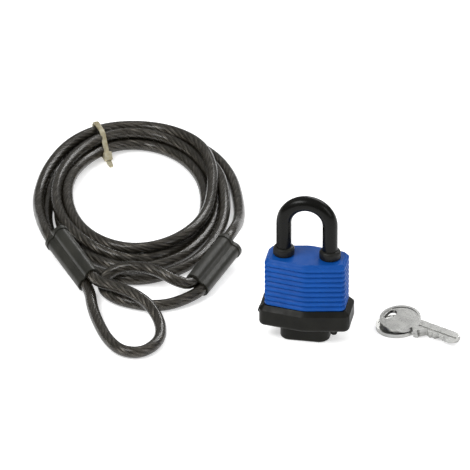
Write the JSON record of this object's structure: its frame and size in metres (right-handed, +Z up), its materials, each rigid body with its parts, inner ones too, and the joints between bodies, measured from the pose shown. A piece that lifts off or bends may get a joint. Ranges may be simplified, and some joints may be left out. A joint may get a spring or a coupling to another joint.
{
  "type": "cable lock",
  "caption": "Bicycle cable lock: weather-covered padlock with sealed shackle and keyway cap, keys, and a tied coil of looped steel cable.",
  "frame": {"origin": "middle of the padlock's underside, on the surface that everything stands on", "axes": "+X across the padlock towards the keys, +Y from its front to its back, +Z up along the shackle"},
  "size_m": [0.2584, 0.2469, 0.0852],
  "materials": {
    "plate_steel": "rolled and pressed",
    "lock_brass": "turned",
    "spring_steel": "drawn wire",
    "shackle_steel": "hardened and plated",
    "shackle_plastic": "satin black sleeve",
    "seal_rubber": "moulded black rubber",
    "blue_plastic": "satin moulded, ribbed",
    "black_plastic": "satin moulded",
    "key_nickel": "nickel plated",
    "cable_vinyl": "smoked translucent jacket over steel strands",
    "ferrule_plastic": "satin moulded",
    "sleeve_aluminium": "crimped",
    "cable_strand": "galvanised, stranded",
    "tie_nylon": "natural nylon, slightly translucent"
  },
  "bodies": {
    "lock_body": {"bottom_plate": "plate_steel", "lamination_plates": "plate_steel", "top_plate": "plate_steel", "body_rivets": "plate_steel", "cylinder_housing": "lock_brass", "driver_pins": "lock_brass", "pin_springs": "spring_steel", "cam_spring": "spring_steel", "left_seal": "seal_rubber", "right_seal": "seal_rubber", "ribbed_cover": "blue_plastic", "base_cover": "black_plastic", "cap_hinge_pin": "spring_steel", "shackle_spring": "spring_steel"},
    "plug": {"key_plug": "lock_brass", "plug_cam": "plate_steel"},
    "tumblers": {"key_pins": "lock_brass"},
    "left_bolt": {"left_bolt": "plate_steel"},
    "right_bolt": {"right_bolt": "plate_steel"},
    "shackle": {"shackle_core": "shackle_steel", "shackle_sleeve": "shackle_plastic"},
    "cap": {"keyway_cap": "black_plastic"},
    "cable": {"cable_coil": "cable_vinyl", "left_eye": "cable_vinyl", "right_eye": "cable_vinyl", "left_lead": "cable_vinyl", "right_lead": "cable_vinyl", "left_ferrule_cover": "ferrule_plastic", "right_ferrule_cover": "ferrule_plastic", "left_crimp_sleeve": "sleeve_aluminium", "right_crimp_sleeve": "sleeve_aluminium", "left_cable_core": "cable_strand", "right_cable_core": "cable_strand", "cable_tie": "tie_nylon"},
    "lower_key": {"lower_key": "key_nickel"},
    "upper_key": {"upper_key": "key_nickel"}
  },
  "joints": [
    {"name": "plug_turn", "type": "hinge", "parent": "lock_body", "child": "plug", "pos_m": [0, -0.0025, 0.02], "axis": [0, 0, 1], "range_deg": [0, 90]},
    {"name": "tumbler_slide", "type": "slide", "parent": "plug", "child": "tumblers", "axis": [0, -1, 0], "range_m": [0, 0.0006]},
    {"name": "left_bolt_slide", "type": "slide", "parent": "lock_body", "child": "left_bolt", "axis": [1, 0, 0], "range_m": [0, 0.006]},
    {"name": "right_bolt_slide", "type": "slide", "parent": "lock_body", "child": "right_bolt", "axis": [-1, 0, 0], "range_m": [0, 0.006]},
    {"name": "shackle_slide", "type": "slide", "parent": "lock_body", "child": "shackle", "axis": [0, 0, 1], "range_m": [0, 0.017], "deforming": ["shackle_spring"]},
    {"name": "cap_hinge", "type": "hinge", "parent": "lock_body", "child": "cap", "pos_m": [0.0161, 0, 0.0056], "axis": [0, -1, 0], "range_deg": [0, 110]},
    {"name": "cable_lift", "type": "slide", "parent": "lock_body", "child": "cable", "axis": [0, 0, 1], "range_m": [0, 0.12]},
    {"name": "upper_key_lift", "type": "slide", "parent": "lock_body", "child": "upper_key", "axis": [0, 0, 1], "range_m": [0, 0.06]},
    {"name": "lower_key_slide", "type": "slide", "parent": "lock_body", "child": "lower_key", "axis": [0, -1, 0], "range_m": [0, 0.05]}
  ],
  "couplings": [
    {"joint": "left_bolt_slide", "follows": "shackle_slide", "ratio": 0.35294},
    {"joint": "right_bolt_slide", "follows": "shackle_slide", "ratio": 0.35294}
  ]
}
